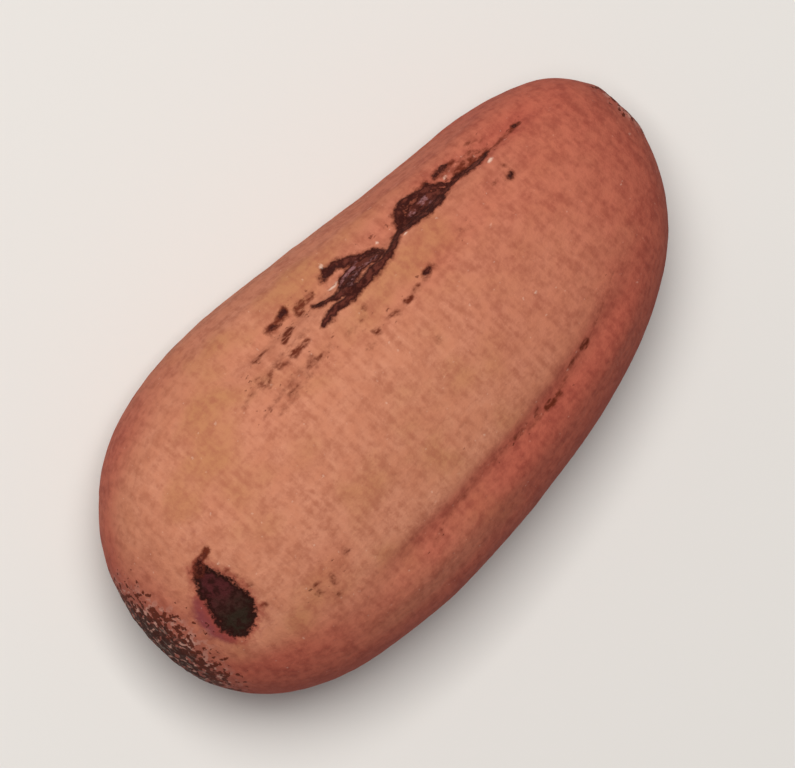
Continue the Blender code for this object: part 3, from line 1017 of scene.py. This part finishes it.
        # Darker skin near both ends, partly painted shade
        near_broad = self.ramp(from_broad, *BROAD_SCAR_SKIN, 1.0, 0.0)
        near_tip = self.ramp(from_tip, *TIP_SCAR_SKIN, 1.0, 0.0)
        near = self.larger(near_broad, near_tip)
        self.lay(near, SCAR_SKIN_AND_SHADE, strength=0.80)
        # Pale flecks on the scars: painted highlights of their rough surface
        pale = self.ramp(self.cloudy(SCAR_HIGHLIGHT_FLECKS), *SCAR_HIGHLIGHT_LEVEL)
        self.lay(self.times(pale, near), SCAR_HIGHLIGHT, strength=0.85)
        cloud = self.cloudy(SCAR_DARK_FLECKS)
        limits = (self.ramp(from_broad, *BROAD_SCAR_FLECKS), self.ramp(from_tip, *TIP_SCAR_FLECKS))
        dark = [self.ramp(self.sum_of(cloud, (limit, -1.0)), *SCAR_DARK_LEVEL) for limit in limits]
        self.scar_flecks = self.larger(*dark)
        paler = self.sum_of(from_broad, (self.grain, 2.0), -1.0)
        fleck = self.mix(self.ramp(paler, *BROWN_FLECKS), SCAR_DARK, STAIN)
        self.lay(self.scar_flecks, fleck, strength=0.93)
        ash = self.ramp(self.cloudy(SCAR_ASH), *ASH_LEVEL)
        self.lay(self.times(ash, self.ramp(self.mark("scar"), *ASH_REACH)), SCAR_GREY, strength=0.70)

    def surface(self):
        """Matt everywhere, a little smoother on film and eye spots, with fine bumps."""
        dark = self.larger(self.in_film, self.in_eye)
        self.join(self.shader.inputs["Base Color"], self.colour)
        rough = self.sum_of(SHELL_ROUGHNESS, (self.grain, 0.16), (dark, -0.20), (self.glints, -0.12))
        self.join(self.shader.inputs["Roughness"], rough)
        self.shader.inputs["Specular IOR Level"].default_value = SHELL_SPECULAR
        skin = self.sum_of(
            (self.grain, 0.9), (self.wrinkle, 0.7), (self.streak, 0.3), (self.specks, -0.5), (self.dust, 0.3)
        )
        crust = self.sum_of(0.5, self.cloudy(CRUST_BUMPS))
        crust = self.times(self.larger(dark, self.scar_flecks), crust)
        self.join(self.shader.inputs["Normal"], self.bump(crust, under=self.bump(skin)))


def floor_piece():
    """A flat pale floor just under the seed."""
    mesh = bpy.data.meshes.new("floor")
    corners = [(-1, -1), (1, -1), (1, 1), (-1, 1)]
    mesh.from_pydata([(x * FLOOR_HALF, y * FLOOR_HALF, -FLOOR_DROP) for x, y in corners], [], [(0, 1, 2, 3)])
    mesh.update()
    floor = bpy.data.objects.new("floor", mesh)
    bpy.context.scene.collection.objects.link(floor)
    finish = Finish("floor")
    finish.join(finish.shader.inputs["Base Color"], FLOOR_COLOUR)
    finish.shader.inputs["Roughness"].default_value = FLOOR_ROUGHNESS
    finish.shader.inputs["Specular IOR Level"].default_value = FLOOR_SPECULAR
    mesh.materials.append(finish.material)
    return floor


def picture_axes():
    """Unit vectors of the picture: to its right, up it, and from the seed to the camera."""
    lean = Vector((-math.sin(LEAN_TO_BROAD_END), math.sin(LEAN_TO_PLUS_Y), 0.0))
    out = Vector((lean.x, lean.y, math.sqrt(1.0 - lean.length_squared)))
    along = (Vector((1.0, 0.0, 0.0)) - out * out.x).normalized()
    across = out.cross(along)
    right = math.cos(PICTURE_TURN) * along - math.sin(PICTURE_TURN) * across
    up = math.sin(PICTURE_TURN) * along + math.cos(PICTURE_TURN) * across
    return right, up, out


def place_camera():
    """A long lens that looks against the picture's outward axis, turned with the picture."""
    right, up, out = picture_axes()
    data = bpy.data.cameras.new("camera")
    data.lens = FOCAL_LENGTH
    data.sensor_width = SENSOR
    data.clip_start = CLIP_START
    data.clip_end = CLIP_END
    camera = bpy.data.objects.new("camera", data)
    turn = Matrix((right, up, out)).transposed().to_4x4()
    camera.matrix_world = Matrix.Translation(TARGET + out * CAMERA_DISTANCE) @ turn
    bpy.context.scene.collection.objects.link(camera)
    bpy.context.scene.camera = camera


def place_lamps():
    """Soft square lamps placed along the picture's own axes, each turned to the seed, and a pale even sky."""
    right, up, out = picture_axes()
    for lamp in LAMPS:
        data = bpy.data.lights.new(lamp.name, "AREA")
        data.size = lamp.size
        data.energy = lamp.watts
        data.color = lamp.colour
        light = bpy.data.objects.new(lamp.name, data)
        away = right * lamp.right + up * lamp.up + out * lamp.out
        light.location = TARGET + away
        light.rotation_euler = away.to_track_quat("Z", "Y").to_euler()
        light.visible_camera = False
        bpy.context.scene.collection.objects.link(light)
    world = bpy.data.worlds.new("sky")
    world.use_nodes = True
    sky = world.node_tree.nodes["Background"]
    sky.inputs["Color"].default_value = (*WORLD_COLOUR, 1.0)
    sky.inputs["Strength"].default_value = WORLD_STRENGTH
    bpy.context.scene.world = world


bpy.context.scene.view_settings.view_transform = "Standard"
shell = shell_piece()
shell.data.materials.append(ShellFinish().material)
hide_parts("seed")
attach(shell, "root")
floor_piece()
place_camera()
place_lamps()
